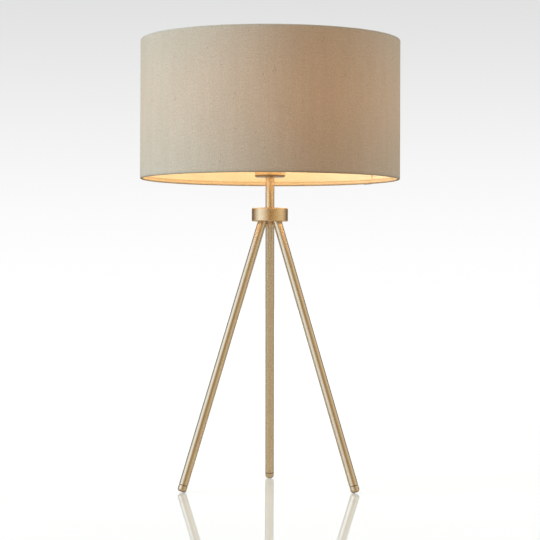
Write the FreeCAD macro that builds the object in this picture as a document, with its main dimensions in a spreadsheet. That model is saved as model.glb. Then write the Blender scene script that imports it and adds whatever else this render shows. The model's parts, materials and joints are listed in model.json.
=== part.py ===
import FreeCAD, Part
import math
import os
import Sketcher
from types import SimpleNamespace

# Tripod table lamp: a drum shade over three slim tube legs.
# Millimetres, +Z up. The origin is on the floor, under the lamp's axis.
# The front faces -Y, and one leg points straight back, along +Y.

# ---------------------------------------------------------------- dimensions

DIMENSIONS = [
    # tripod
    ("collar_base", 358.7, "height of the collar's underside"),
    ("collar_radius", 24.5, "collar, outside"),
    ("collar_height", 18.0, "collar, top to bottom"),
    ("collar_round", 1.2, "rounding of the collar's edges"),
    ("collar_step", 5.5, "height of the narrow stretch of the collar's hole"),
    ("leg_radius", 6.0, "leg tube, outside"),
    ("leg_wall", 1.2, "leg tube's wall"),
    ("leg_lean", 18.63, "degrees between a leg and upright"),
    ("leg_top_offset", 11.5, "leg's axis from the lamp's axis, at the collar's underside"),
    ("azimuth_rear", 90.0, "degrees round from +X to the rear leg"),
    ("azimuth_left", 210.0, "degrees round from +X to the left leg"),
    ("azimuth_right", 330.0, "degrees round from +X to the right leg"),
    ("foot_head", 8.1, "visible stretch of a foot"),
    ("foot_round", 3.6, "rounding of a foot's end"),
    ("foot_groove", 1.0, "height of the groove between foot and tube"),
    ("foot_groove_radius", 5.2, "foot, at the bottom of that groove"),
    ("foot_shank_radius", 4.75, "stretch of the foot inside the tube"),
    ("foot_shank", 12.0, "length of that stretch"),
    # outlet for the lead
    ("outlet_bore", 2.9, "hole for the lead"),
    ("outlet_radius", 4.9, "outlet, outside"),
    ("outlet_drop", 6.5, "how far the outlet hangs below the collar"),
    ("outlet_nose", 3.6, "height of its rounded nose"),
    ("outlet_lip", 0.5, "width of the flat lip round the hole"),
    ("outlet_shank_radius", 4.0, "stretch of the outlet inside the collar"),
    ("outlet_shank", 5.2, "length of that stretch"),
    # stem
    ("stem_length", 41.5, "stem, from the collar to the cup"),
    ("stem_radius", 6.0, "stem tube, outside"),
    ("stem_bore", 5.1, "stem tube, inside"),
    ("nipple_radius", 4.95, "threaded tube, outside"),
    ("nipple_bore", 3.6, "threaded tube, inside"),
    ("screw_gap", 0.05, "play of a thread in its hole"),
    # holder cup and its fixing
    ("cup_radius", 20.65, "cup, outside"),
    ("cup_wall", 0.8, "cup's wall"),
    ("cup_height", 30.0, "cup, top to bottom"),
    ("cup_round", 2.7, "rounding of the cup's bottom edge"),
    ("washer_radius", 9.0, "washer in the cup"),
    ("washer_thick", 0.8, "washer's thickness"),
    ("nut_flats", 14.0, "nut, across its flats"),
    ("nut_thick", 3.0, "nut's thickness"),
    # lamp holder
    ("holder_height", 55.0, "holder, top to bottom"),
    ("neck_radius", 7.5, "holder's neck, outside"),
    ("neck_height", 6.0, "holder's neck"),
    ("base_radius", 18.8, "holder's lower half, outside"),
    ("base_floor", 2.5, "its floor"),
    ("base_wall", 2.0, "its wall"),
    ("base_height", 20.0, "its height, with the neck"),
    ("base_round", 4.0, "rounding of its floor's edge"),
    ("skirt_depth", 8.0, "how far the upper half screws down over the lower"),
    ("skirt_radius", 18.3, "joint of the two halves"),
    ("shell_radius", 19.5, "holder's upper half, over its thread"),
    ("shell_bore", 16.9, "holder's upper half, inside"),
    ("lip_radius", 14.6, "mouth of the holder"),
    ("lip_thick", 2.0, "thickness at the mouth"),
    ("shell_pitch", 2.8, "pitch of the holder's outside thread"),
    ("shell_groove", 0.5, "depth of that thread"),
    ("block_radius", 16.5, "contact block"),
    ("block_height", 8.0, "contact block, top to bottom"),
    ("block_flange", 18.1, "its flange"),
    ("block_flange_thick", 2.0, "its flange's thickness"),
    ("terminal_offset", 9.0, "terminal screws from the axis"),
    ("terminal_radius", 1.5, "terminal screw's hole"),
    ("terminal_head_radius", 2.75, "terminal screw's head"),
    ("terminal_head", 2.5, "height of that head"),
    ("slot_width", 0.6, "width of the screws' slots"),
    ("slot_depth", 0.8, "depth of the screws' slots"),
    ("strip_thick", 0.5, "thickness of the contact strips"),
    ("strip_width", 5.0, "width of the contact strips"),
    ("socket_crest", 13.35, "screw shell, inside its thread"),
    ("socket_wall", 0.35, "screw shell's wall"),
    ("lamp_pitch", 3.63, "pitch of the bulb's thread"),
    ("lamp_groove", 0.45, "depth of the bulb's thread"),
    # bulb
    ("pip_rise", 3.2, "bulb's tip above the contact block"),
    ("cap_crest", 13.05, "bulb's cap, over its thread"),
    ("cap_height", 26.5, "bulb's cap, with its tip"),
    ("cap_bore", 12.1, "bulb's cap, inside"),
    ("pip_radius", 4.8, "bulb's tip contact"),
    ("insulator_radius", 11.4, "insulator, where it meets the cap"),
    ("globe_radius", 30.0, "bulb's globe"),
    ("globe_wall", 1.2, "globe's wall"),
    ("globe_centre", 76.0, "globe's centre above the bulb's tip"),
    ("globe_cut", 20.0, "globe's open edge below its centre"),
    ("housing_curve", 46.0, "radius of the housing's flare"),
    ("plate_radius", 19.7, "light plate"),
    ("plate_thick", 1.6, "light plate's thickness"),
    # shade
    ("shade_radius", 175.0, "shade, outside"),
    ("shade_base", 415.3, "height of the shade's lower rim"),
    ("shade_height", 187.1, "shade, rim to rim"),
    ("cloth_thick", 0.8, "outer cloth"),
    ("liner_thick", 0.6, "liner"),
    ("roll_radius", 1.75, "rolled edge"),
    ("hem_inside", 6.5, "height of the hem inside the shade"),
    ("hem_thick", 0.5, "thickness of the hem"),
    ("wire_radius", 1.25, "wire rings in the rolled edges"),
    ("arm_radius", 1.5, "wire of the carrier's arms"),
    ("arm_slope", 8.0, "degrees that an arm drops below level"),
    ("arm_bend", 9.0, "radius of an arm's bends"),
    ("arm_level", 4.0, "level stretch beside the carrier ring"),
    ("weld", 0.2, "how deep a weld joins two wires"),
    ("carrier_hole", 21.0, "carrier ring, inside"),
    ("carrier_radius", 30.0, "carrier ring, outside"),
    ("carrier_thick", 1.5, "carrier ring's thickness"),
    ("turn_gap", 0.3, "gap between pieces that turn on each other"),
    # retaining rings
    ("ring_flange_radius", 28.0, "retaining ring's flange"),
    ("ring_flange", 2.0, "flange's thickness"),
    ("ring_hub_radius", 23.5, "retaining ring's grip"),
    ("ring_hub", 4.0, "height of the grip"),
    ("ring_play", 0.06, "play of a ring on the holder's thread"),
    ("notch_radius", 1.6, "finger notches round the grip"),
]
NOTCHES = 16
SHELL_THREADS = 9
SOCKET_THREADS = 6
CAP_THREADS = 5

DOCUMENT = FreeCAD.newDocument("TripodLamp")


class Size:
    """A number together with the sheet expression that gives it."""

    def __init__(self, value, text):
        self.value = value
        self.text = text

    def __add__(self, other):
        other = as_size(other)
        return Size(self.value + other.value, f"({self.text} + {other.text})")

    def __sub__(self, other):
        other = as_size(other)
        return Size(self.value - other.value, f"({self.text} - {other.text})")

    def __mul__(self, other):
        other = as_size(other)
        return Size(self.value * other.value, f"({self.text} * {other.text})")

    def __truediv__(self, other):
        other = as_size(other)
        return Size(self.value / other.value, f"({self.text} / {other.text})")

    def __neg__(self):
        return Size(-self.value, f"(-1 * {self.text})")


def as_size(number):
    return number if isinstance(number, Size) else Size(float(number), str(float(number)))


def sine(angle):
    return Size(math.sin(math.radians(angle.value)), f"sin({angle.text})")


def cosine(angle):
    return Size(math.cos(math.radians(angle.value)), f"cos({angle.text})")


def tangent(angle):
    return Size(math.tan(math.radians(angle.value)), f"tan({angle.text})")


def root(size):
    return Size(math.sqrt(size.value), f"sqrt({size.text})")


def rise(radius, aside):
    """How far a circle of this radius reaches up, at this distance beside its centre."""
    return root(radius * radius - aside * aside)


def dimension_sheet():
    """Write the driving dimensions into a sheet and return them as sizes."""
    sheet = DOCUMENT.addObject("Spreadsheet::Sheet", "Sizes")
    for row, (alias, value, note) in enumerate(DIMENSIONS, 1):
        sheet.set(f"A{row}", note)
        sheet.set(f"B{row}", str(value))
        sheet.setAlias(f"B{row}", alias)
    DOCUMENT.recompute()
    return SimpleNamespace(**{alias: Size(value, f"Sizes.{alias}") for alias, value, _ in DIMENSIONS})


s = dimension_sheet()

# Heights that several pieces share, from the floor up.
COLLAR_TOP = s.collar_base + s.collar_height
CUP_BASE = COLLAR_TOP + s.stem_length
CUP_RIM = CUP_BASE + s.cup_height
NUT_BASE = CUP_BASE + s.cup_wall + s.washer_thick
NECK_BASE = NUT_BASE + s.nut_thick
HOLDER_TOP = NECK_BASE + s.holder_height
FLOOR_TOP = NECK_BASE + s.neck_height + s.base_floor
BASE_TOP = NECK_BASE + s.base_height
BLOCK_BASE = BASE_TOP - s.block_flange_thick
BLOCK_TOP = BLOCK_BASE + s.block_height
PIP = BLOCK_TOP + s.pip_rise
GLOBE_EDGE = PIP + s.globe_centre - s.globe_cut
CARRIER_BASE = CUP_RIM + s.ring_hub + s.ring_flange + s.turn_gap
RING_BASE = CARRIER_BASE + s.carrier_thick + s.turn_gap
SHADE_TOP = s.shade_base + s.shade_height
LINER_FACE = s.shade_radius - s.cloth_thick - s.liner_thick

# A foot's end stands off the floor so that its lowest edge just touches it.
FOOT_FLAT = s.leg_radius - s.foot_round
FOOT_RISE = s.foot_round * (as_size(1) - cosine(s.leg_lean)) + FOOT_FLAT * sine(s.leg_lean)
FOOT_OFFSET = s.leg_top_offset + (s.collar_base - FOOT_RISE) * tangent(s.leg_lean)
LEG_REACH = (s.collar_base - FOOT_RISE) / cosine(s.leg_lean)
FOOT_TOP = s.foot_head + s.foot_groove
AZIMUTHS = {"rear": s.azimuth_rear, "left": s.azimuth_left, "right": s.azimuth_right}


# ------------------------------------------------------------ drawing helpers

def bind(thing, name, size):
    thing.setExpression(name, size.text)


def place(thing, x=0, y=0, z=0, yaw=0, pitch=0, roll=0):
    """Bind a whole placement: turned about X, then Y, then Z, then moved."""
    spot = [as_size(number).text for number in (x, y, z)]
    turn = [as_size(number).text for number in (yaw, pitch, roll)]
    thing.setExpression("Placement", f"placement(vector({'; '.join(spot)}); rotation({'; '.join(turn)}))")


def new_body(label):
    body = DOCUMENT.addObject("PartDesign::Body", label)
    body.Label = label
    return body


def origin_part(body, role):
    return next(part for part in body.Origin.OriginFeatures if part.Role == role)


def sketch_on(body, plane, name, height=None):
    """A sketch on one of the body's own planes, raised by a height if one is given."""
    sketch = body.newObject("Sketcher::SketchObject", f"{body.Name}_{name}")
    sketch.AttachmentSupport = (origin_part(body, plane), [""])
    sketch.MapMode = "FlatFace"
    if height is not None:
        bind(sketch, ".AttachmentOffset.Base.z", height)
    return sketch


def pin(sketch, kind, geometry, point, size):
    """Hold one coordinate of a sketch point at a size of the sheet."""
    number = sketch.addConstraint(Sketcher.Constraint(kind, -1, 1, geometry, point, size.value))
    sketch.setExpression(f"Constraints[{number}]", size.text)


def add_circle(sketch, x, y, radius):
    x, y = as_size(x), as_size(y)
    centre = FreeCAD.Vector(x.value, y.value, 0)
    index = sketch.addGeometry(Part.Circle(centre, FreeCAD.Vector(0, 0, 1), radius.value))
    pin(sketch, "DistanceX", index, 3, x)
    pin(sketch, "DistanceY", index, 3, y)
    number = sketch.addConstraint(Sketcher.Constraint("Radius", index, radius.value))
    sketch.setExpression(f"Constraints[{number}]", radius.text)


def bend(radius, side):
    """The edge that leaves a corner is an arc that bulges to this side of the way along."""
    return SimpleNamespace(radius=radius, side=side)


def arc_between(start, finish, arc):
    """A short arc, always drawn anticlockwise, and whether it runs from finish to start."""
    chord = finish - start
    half = chord.Length / 2
    sag = arc.radius.value - math.sqrt(max(arc.radius.value**2 - half**2, 0.0))
    outward = FreeCAD.Vector(chord.y, -chord.x, 0).normalize()
    if arc.side == "left":
        outward = -outward
    middle = (start + finish) * 0.5 + outward * sag
    backwards = arc.side == "left"
    if backwards:
        start, finish = finish, start
    return Part.Arc(start, middle, finish), backwards


def outline(body, plane, corners, name="outline", closed=True):
    """Draw a run of lines and arcs through corners given as (x, y) or (x, y, bend)."""
    sketch = sketch_on(body, plane, name)
    spots = [(as_size(corner[0]), as_size(corner[1])) for corner in corners]
    points = [FreeCAD.Vector(x.value, y.value, 0) for x, y in spots]
    edges = []
    for index in range(len(corners) if closed else len(corners) - 1):
        start, finish = points[index], points[(index + 1) % len(points)]
        if len(corners[index]) == 3:
            arc = corners[index][2]
            shape, backwards = arc_between(start, finish, arc)
            geometry = sketch.addGeometry(shape)
            number = sketch.addConstraint(Sketcher.Constraint("Radius", geometry, arc.radius.value))
            sketch.setExpression(f"Constraints[{number}]", arc.radius.text)
            edges.append((geometry, 2, 1) if backwards else (geometry, 1, 2))
        else:
            edges.append((sketch.addGeometry(Part.LineSegment(start, finish)), 1, 2))
    for (first, _, out), (second, into, _) in zip(edges, edges[1:] + (edges[:1] if closed else [])):
        sketch.addConstraint(Sketcher.Constraint("Coincident", first, out, second, into))
    for (geometry, into, _), (x, y) in zip(edges, spots):
        pin(sketch, "DistanceX", geometry, into, x)
        pin(sketch, "DistanceY", geometry, into, y)
    if not closed:
        geometry, _, out = edges[-1]
        pin(sketch, "DistanceX", geometry, out, spots[-1][0])
        pin(sketch, "DistanceY", geometry, out, spots[-1][1])
    return sketch


def turned(label, corners):
    """A turned piece: an outline of (radius, height) corners spun round the upright axis."""
    body = new_body(label)
    sketch = outline(body, "XZ_Plane", corners)
    spin = body.newObject("PartDesign::Revolution", f"{label}_turned")
    spin.Profile = sketch
    spin.ReferenceAxis = (sketch, ["V_Axis"])
    spin.Angle = 360
    DOCUMENT.recompute()
    return body


def tube(label, inside, outside, low, high):
    return turned(label, [(inside, low), (outside, low), (outside, high), (inside, high)])


def is_circle(edge, radius, height):
    curve = edge.Curve
    if not isinstance(curve, Part.Circle):
        return False
    return abs(curve.Radius - radius.value) < 1e-4 and abs(curve.Center.z - height.value) < 1e-4


def round_edges(body, size, *circles):
    """Round the circular edges that have the given radii and heights."""
    base = body.Tip
    names = [
        f"Edge{number}"
        for number, edge in enumerate(base.Shape.Edges, 1)
        if any(is_circle(edge, as_size(radius), as_size(height)) for radius, height in circles)
    ]
    if len(names) != len(circles):
        raise RuntimeError(f"{body.Label}: found {len(names)} edges to round, not {len(circles)}")
    fillet = body.newObject("PartDesign::Fillet", f"{body.Name}_rounded_{len(body.Group)}")
    fillet.Base = (base, names)
    bind(fillet, "Radius", size)
    DOCUMENT.recompute()


def cut(body, sketch, name, length=None, reverse=False):
    """Cut a sketch out of the body, right through it both ways unless a length is given."""
    before = body.Tip.Shape.Volume
    pocket = body.newObject("PartDesign::Pocket", f"{body.Name}_{name}")
    pocket.Profile = sketch
    pocket.Reversed = reverse
    if length is None:
        pocket.SideType = "Symmetric"
        pocket.Type = "ThroughAll"
    else:
        bind(pocket, "Length", length)
    DOCUMENT.recompute()
    if pocket.Shape.Volume >= before:
        raise RuntimeError(f"{body.Label}: {name} cuts nothing")
    return pocket


def repeat(body, feature, kind, count, **settings):
    """Repeat a feature round or along the body's upright axis."""
    before = body.Tip.Shape.Volume
    pattern = body.newObject(f"PartDesign::{kind}", f"{feature.Name}_repeated")
    pattern.Originals = [feature]
    pattern.Occurrences = count
    axis = (origin_part(body, "Z_Axis"), [""])
    if kind == "PolarPattern":
        pattern.Axis = axis
        pattern.Angle = 360
    else:
        pattern.Direction = axis
    for name, size in settings.items():
        bind(pattern, name, size)
    body.Tip = pattern
    DOCUMENT.recompute()
    if pattern.Shape.Volume >= before:
        raise RuntimeError(f"{body.Label}: {feature.Name} is not repeated")


# --------------------------------------------------------------------- tripod

def collar():
    """The turned disc that the legs and the stem meet in."""
    shank_hole = s.outlet_shank_radius + s.screw_gap
    nipple_hole = s.nipple_radius + s.screw_gap
    step = s.collar_base + s.collar_step
    body = turned("collar", [
        (shank_hole, s.collar_base),
        (s.collar_radius, s.collar_base),
        (s.collar_radius, COLLAR_TOP),
        (nipple_hole, COLLAR_TOP),
        (nipple_hole, step),
        (shank_hole, step),
    ])
    round_edges(body, s.collar_round, (s.collar_radius, s.collar_base), (s.collar_radius, COLLAR_TOP))
    return body


def place_on_leg(body, azimuth):
    """Drawn upright from the middle of the foot's end, then leaned against the collar."""
    place(
        body,
        x=FOOT_OFFSET * cosine(azimuth),
        y=FOOT_OFFSET * sine(azimuth),
        z=FOOT_RISE,
        yaw=azimuth,
        pitch=-s.leg_lean,
    )


def leg(side, azimuth):
    """A tube leg, its top mitred to lie flat against the collar's underside."""
    body = new_body(f"leg_{side}")
    section = sketch_on(body, "XY_Plane", "section", height=FOOT_TOP)
    add_circle(section, 0, 0, s.leg_radius)
    add_circle(section, 0, 0, s.leg_radius - s.leg_wall)
    pipe = body.newObject("PartDesign::Pad", f"{body.Name}_tube")
    pipe.Profile = section
    bind(pipe, "Length", LEG_REACH - FOOT_TOP + s.leg_radius)
    DOCUMENT.recompute()
    reach = s.leg_radius * 2
    drop = reach * tangent(s.leg_lean)
    mitre = outline(body, "XZ_Plane", [
        (-reach, LEG_REACH + drop),
        (reach, LEG_REACH - drop),
        (reach, LEG_REACH + reach),
        (-reach, LEG_REACH + reach),
    ], "mitre")
    cut(body, mitre, "mitre_cut")
    place_on_leg(body, azimuth)
    return body


def foot(side, azimuth):
    """The plug in a leg's end: a rounded head, a shadow groove and a shank in the tube."""
    body = turned(f"foot_{side}", [
        (0, 0),
        (s.leg_radius, 0),
        (s.leg_radius, s.foot_head),
        (s.foot_groove_radius, s.foot_head),
        (s.foot_groove_radius, FOOT_TOP),
        (s.foot_shank_radius, FOOT_TOP),
        (s.foot_shank_radius, FOOT_TOP + s.foot_shank),
        (0, FOOT_TOP + s.foot_shank),
    ])
    round_edges(body, s.foot_round, (s.leg_radius, 0))
    place_on_leg(body, azimuth)
    return body


def cable_outlet():
    """The turned bush under the collar that the lead comes out of."""
    low = s.collar_base - s.outlet_drop
    lip = s.outlet_bore + s.outlet_lip
    inset = s.outlet_radius - lip
    nose_curve = (inset * inset + s.outlet_nose * s.outlet_nose) / (inset * 2)
    return turned("cable_outlet", [
        (s.outlet_bore, low),
        (lip, low, bend(nose_curve, "right")),
        (s.outlet_radius, low + s.outlet_nose),
        (s.outlet_radius, s.collar_base),
        (s.outlet_shank_radius, s.collar_base),
        (s.outlet_shank_radius, s.collar_base + s.outlet_shank),
        (s.outlet_bore, s.collar_base + s.outlet_shank),
    ])


# ----------------------------------------------------- stem, cup and hardware

def stem_tube():
    return tube("stem_tube", s.stem_bore, s.stem_radius, COLLAR_TOP, CUP_BASE)


def threaded_tube():
    """The hollow threaded rod that draws collar, stem, cup and holder together."""
    low = s.collar_base + s.collar_step + s.turn_gap
    return tube("threaded_tube", s.nipple_bore, s.nipple_radius, low, FLOOR_TOP)


def holder_cup():
    """The drawn metal cup that hides the lower half of the holder."""
    inside = s.cup_radius - s.cup_wall
    floor = CUP_BASE + s.cup_wall
    body = turned("holder_cup", [
        (s.stem_bore, CUP_BASE),
        (s.cup_radius, CUP_BASE),
        (s.cup_radius, CUP_RIM),
        (inside, CUP_RIM),
        (inside, floor),
        (s.stem_bore, floor),
    ])
    round_edges(body, s.cup_round, (s.cup_radius, CUP_BASE))
    round_edges(body, s.cup_round - s.cup_wall, (inside, floor))
    return body


def cup_washer():
    return tube("cup_washer", s.stem_bore, s.washer_radius, CUP_BASE + s.cup_wall, NUT_BASE)


def cup_nut():
    """The hexagon nut that clamps the cup on the stem."""
    body = new_body("cup_nut")
    apothem = s.nut_flats / 2
    half_side = apothem * tangent(as_size(30))
    corner = half_side * 2
    section = outline(body, "XY_Plane", [
        (apothem, -half_side),
        (apothem, half_side),
        (0, corner),
        (-apothem, half_side),
        (-apothem, -half_side),
        (0, -corner),
    ])
    add_circle(section, 0, 0, s.nipple_radius + s.screw_gap)
    plate = body.newObject("PartDesign::Pad", "cup_nut_plate")
    plate.Profile = section
    bind(plate, "Length", s.nut_thick)
    place(body, z=NUT_BASE)
    return body


# ---------------------------------------------------------------- lamp holder

def holder_base():
    """Lower half of the holder: a neck on the threaded tube and a round pan above it."""
    hole = s.nipple_radius + s.screw_gap
    floor = NECK_BASE + s.neck_height
    shoulder = BASE_TOP - s.skirt_depth
    inside = s.base_radius - s.base_wall
    body = turned("holder_base", [
        (hole, NECK_BASE),
        (s.neck_radius, NECK_BASE),
        (s.neck_radius, floor),
        (s.base_radius, floor),
        (s.base_radius, shoulder),
        (s.skirt_radius, shoulder),
        (s.skirt_radius, BASE_TOP),
        (inside, BASE_TOP),
        (inside, FLOOR_TOP),
        (hole, FLOOR_TOP),
    ])
    round_edges(body, s.base_round, (s.base_radius, floor))
    tapping = sketch_on(body, "XZ_Plane", "tapping")
    add_circle(tapping, 0, NECK_BASE + s.neck_height / 2, s.terminal_radius)
    cut(body, tapping, "grub_hole", length=s.base_radius, reverse=True)
    return body


def cylinder(name, radius, height):
    shape = DOCUMENT.addObject("Part::Cylinder", name)
    bind(shape, "Radius", radius)
    bind(shape, "Height", height)
    return shape


def slot(name, radius, low, depth):
    """A screwdriver slot, drawn well past both sides of a head of this radius."""
    shape = DOCUMENT.addObject("Part::Box", name)
    bind(shape, "Length", radius * 4)
    bind(shape, "Width", s.slot_width)
    bind(shape, "Height", depth)
    place(shape, x=-(radius * 2), y=-(s.slot_width / 2), z=low)
    return shape


def holder_grub_screw():
    """The slotted screw that locks the holder's neck on the threaded tube."""
    length = s.neck_radius - s.nipple_radius - s.screw_gap
    screw = DOCUMENT.addObject("Part::Cut", "holder_grub_screw")
    screw.Base = cylinder("grub_shank", s.terminal_radius - s.screw_gap, length)
    screw.Tool = slot("grub_slot", s.terminal_radius, length - s.slot_depth, s.slot_depth)
    screw.Label = "holder_grub_screw"
    place(screw, y=-(s.nipple_radius + s.screw_gap), z=NECK_BASE + s.neck_height / 2, roll=90)
    return screw


def holder_shell():
    """Upper half of the holder: a threaded skirt with a mouth for the bulb."""
    skirt_bore = s.skirt_radius + s.screw_gap
    shoulder = BASE_TOP + s.block_flange_thick
    lip = HOLDER_TOP - s.lip_thick
    body = turned("holder_shell", [
        (skirt_bore, BASE_TOP - s.skirt_depth),
        (s.shell_radius, BASE_TOP - s.skirt_depth),
        (s.shell_radius, HOLDER_TOP),
        (s.lip_radius, HOLDER_TOP),
        (s.lip_radius, lip),
        (s.shell_bore, lip),
        (s.shell_bore, shoulder),
        (skirt_bore, shoulder),
    ])
    middle = CUP_RIM + s.shell_pitch / 2
    deep = s.shell_radius - s.shell_groove
    proud = s.shell_radius + s.shell_groove
    vee = outline(body, "XZ_Plane", [
        (deep, middle),
        (proud, middle - s.shell_groove * 2),
        (proud, middle + s.shell_groove * 2),
    ], "vee")
    groove = body.newObject("PartDesign::Groove", "holder_shell_groove")
    groove.Profile = vee
    groove.ReferenceAxis = (vee, ["V_Axis"])
    groove.Angle = 360
    DOCUMENT.recompute()
    repeat(body, groove, "LinearPattern", SHELL_THREADS, Length=s.shell_pitch * (SHELL_THREADS - 1))
    return body


def contact_block():
    """The ceramic disc that carries the contacts, clamped between the holder's halves."""
    body = turned("contact_block", [
        (0, BLOCK_BASE),
        (s.block_radius, BLOCK_BASE),
        (s.block_radius, BASE_TOP),
        (s.block_flange, BASE_TOP),
        (s.block_flange, BASE_TOP + s.block_flange_thick),
        (s.block_radius, BASE_TOP + s.block_flange_thick),
        (s.block_radius, BLOCK_TOP),
        (0, BLOCK_TOP),
    ])
    holes = sketch_on(body, "XY_Plane", "holes")
    for side in (1, -1):
        add_circle(holes, s.terminal_offset * side, 0, s.terminal_radius)
    cut(body, holes, "terminal_holes")
    return body


def strip(label, corners, width):
    """A bent contact strip: its edge outline, padded to both sides."""
    body = new_body(label)
    sketch = outline(body, "XZ_Plane", corners)
    pad = body.newObject("PartDesign::Pad", f"{label}_strip")
    pad.Profile = sketch
    pad.SideType = "Symmetric"
    bind(pad, "Length", width)
    return body


def centre_contact():
    """The sprung tongue under the bulb's tip."""
    thick = s.strip_thick
    lifted = PIP - s.turn_gap
    far = -(s.terminal_offset + s.terminal_radius)
    heel = far + s.strip_width
    toe = heel + s.pip_rise
    return strip("centre_contact", [
        (far, BLOCK_TOP),
        (heel + thick, BLOCK_TOP),
        (toe + thick, lifted - thick),
        (s.pip_radius / 2, lifted - thick),
        (s.pip_radius / 2, lifted),
        (toe, lifted),
        (heel, BLOCK_TOP + thick),
        (far, BLOCK_TOP + thick),
    ], s.strip_width)


def side_contact():
    """The angled strip that feeds the screw shell."""
    thick = s.strip_thick
    inner = s.socket_crest + s.lamp_groove + s.socket_wall + s.screw_gap
    high = BLOCK_TOP + s.lamp_pitch * 2
    return strip("side_contact", [
        (s.terminal_offset - s.terminal_radius * 2, BLOCK_TOP),
        (inner + thick, BLOCK_TOP),
        (inner + thick, high),
        (inner, high),
        (inner, BLOCK_TOP + thick),
        (s.terminal_offset - s.terminal_radius * 2, BLOCK_TOP + thick),
    ], s.strip_width)


def terminal_screws():
    """Two cheese-head screws up through the contact block, one for each contact."""
    screws = []
    for side in (1, -1):
        whole = DOCUMENT.addObject("Part::Fuse", "terminal_whole")
        whole.Base = cylinder("terminal_head", s.terminal_head_radius, s.terminal_head)
        whole.Tool = cylinder(
            "terminal_shank", s.terminal_radius - s.screw_gap, s.terminal_head + s.block_height
        )
        screw = DOCUMENT.addObject("Part::Cut", "terminal_screw")
        screw.Base = whole
        screw.Tool = slot("terminal_slot", s.terminal_head_radius, 0, s.slot_depth)
        place(screw, x=s.terminal_offset * side, z=BLOCK_BASE - s.terminal_head)
        screws.append(screw)
    group = DOCUMENT.addObject("Part::Compound", "terminal_screws")
    group.Links = screws
    group.Label = "terminal_screws"
    return group


def knuckles(crest, trough, low, pitch, count):
    """Corners of a rounded screw thread's section, drawn as plain vees from low to high."""
    corners = [(crest, low)]
    for turn in range(count):
        corners.append((trough, low + pitch * (turn + 0.5)))
        corners.append((crest, low + pitch * (turn + 1)))
    return corners


def screw_shell():
    """The rolled brass sleeve that the bulb screws into."""
    low = BLOCK_TOP + s.strip_thick + s.screw_gap
    high = HOLDER_TOP - s.lip_thick - s.screw_gap
    start = low + s.lamp_pitch / 2
    trough = s.socket_crest + s.lamp_groove
    inside = knuckles(s.socket_crest, trough, start, s.lamp_pitch, SOCKET_THREADS)
    outside = [(radius + s.socket_wall, height) for radius, height in reversed(inside)]
    return turned("screw_shell", [(s.socket_crest, low)] + inside + [
        (s.socket_crest, high),
        (s.socket_crest + s.socket_wall, high),
    ] + outside + [(s.socket_crest + s.socket_wall, low)])


# ----------------------------------------------------------------------- bulb

def bulb_contact():
    """The solder tip under the bulb."""
    return turned("bulb_contact", [
        (0, PIP),
        (s.pip_radius / 2, PIP, bend(s.pip_radius, "right")),
        (s.pip_radius, PIP + s.pip_radius / 3),
        (0, PIP + s.pip_radius / 3),
    ])


def bulb_insulator():
    """The black glass cone between the tip and the cap."""
    low = PIP + s.pip_radius / 3
    high = low + s.lamp_pitch
    return turned("bulb_insulator", [
        (0, low),
        (s.pip_radius + s.screw_gap, low),
        (s.insulator_radius, high),
        (0, high),
    ])


def bulb_cap():
    """The bulb's screw cap."""
    low = PIP + s.pip_radius / 3 + s.lamp_pitch
    high = PIP + s.cap_height
    trough = s.cap_crest - s.lamp_groove
    thread = knuckles(s.cap_crest, trough, low + s.lamp_groove, s.lamp_pitch, CAP_THREADS)
    return turned("bulb_cap", [(s.insulator_radius, low), (trough, low)] + thread + [
        (s.cap_crest, high),
        (s.cap_bore, high),
        (s.cap_bore, low + s.lamp_pitch / 2),
        (s.insulator_radius, low + s.lamp_pitch / 2),
    ])


def bulb_housing():
    """The flared plastic body between cap and globe."""
    low = PIP + s.cap_height
    spigot = s.cap_bore - s.screw_gap
    inside = s.plate_radius - s.plate_thick
    ledge = GLOBE_EDGE - s.plate_thick
    return turned("bulb_housing", [
        (spigot, low - s.lamp_pitch),
        (spigot, low),
        (s.cap_crest + s.lamp_groove, low, bend(s.housing_curve, "left")),
        (rise(s.globe_radius, s.globe_cut), GLOBE_EDGE),
        (s.plate_radius + s.screw_gap, GLOBE_EDGE),
        (s.plate_radius + s.screw_gap, ledge),
        (inside, ledge),
        (spigot - s.plate_thick, low + s.lamp_pitch),
        (spigot - s.plate_thick, low - s.lamp_pitch),
    ])


def bulb_light_plate():
    """The round plate that carries the light sources."""
    return turned("bulb_light_plate", [
        (0, GLOBE_EDGE - s.plate_thick),
        (s.plate_radius, GLOBE_EDGE - s.plate_thick),
        (s.plate_radius, GLOBE_EDGE),
        (0, GLOBE_EDGE),
    ])


def bulb_globe():
    """The opal globe, an open ball."""
    centre = PIP + s.globe_centre
    inside = s.globe_radius - s.globe_wall
    return turned("bulb_globe", [
        (rise(s.globe_radius, s.globe_cut), GLOBE_EDGE, bend(s.globe_radius, "right")),
        (s.globe_radius, centre, bend(s.globe_radius, "right")),
        (0, centre + s.globe_radius),
        (0, centre + inside, bend(inside, "left")),
        (inside, centre, bend(inside, "left")),
        (rise(inside, s.globe_cut), GLOBE_EDGE),
    ])


# ---------------------------------------------------------------------- shade

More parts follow.
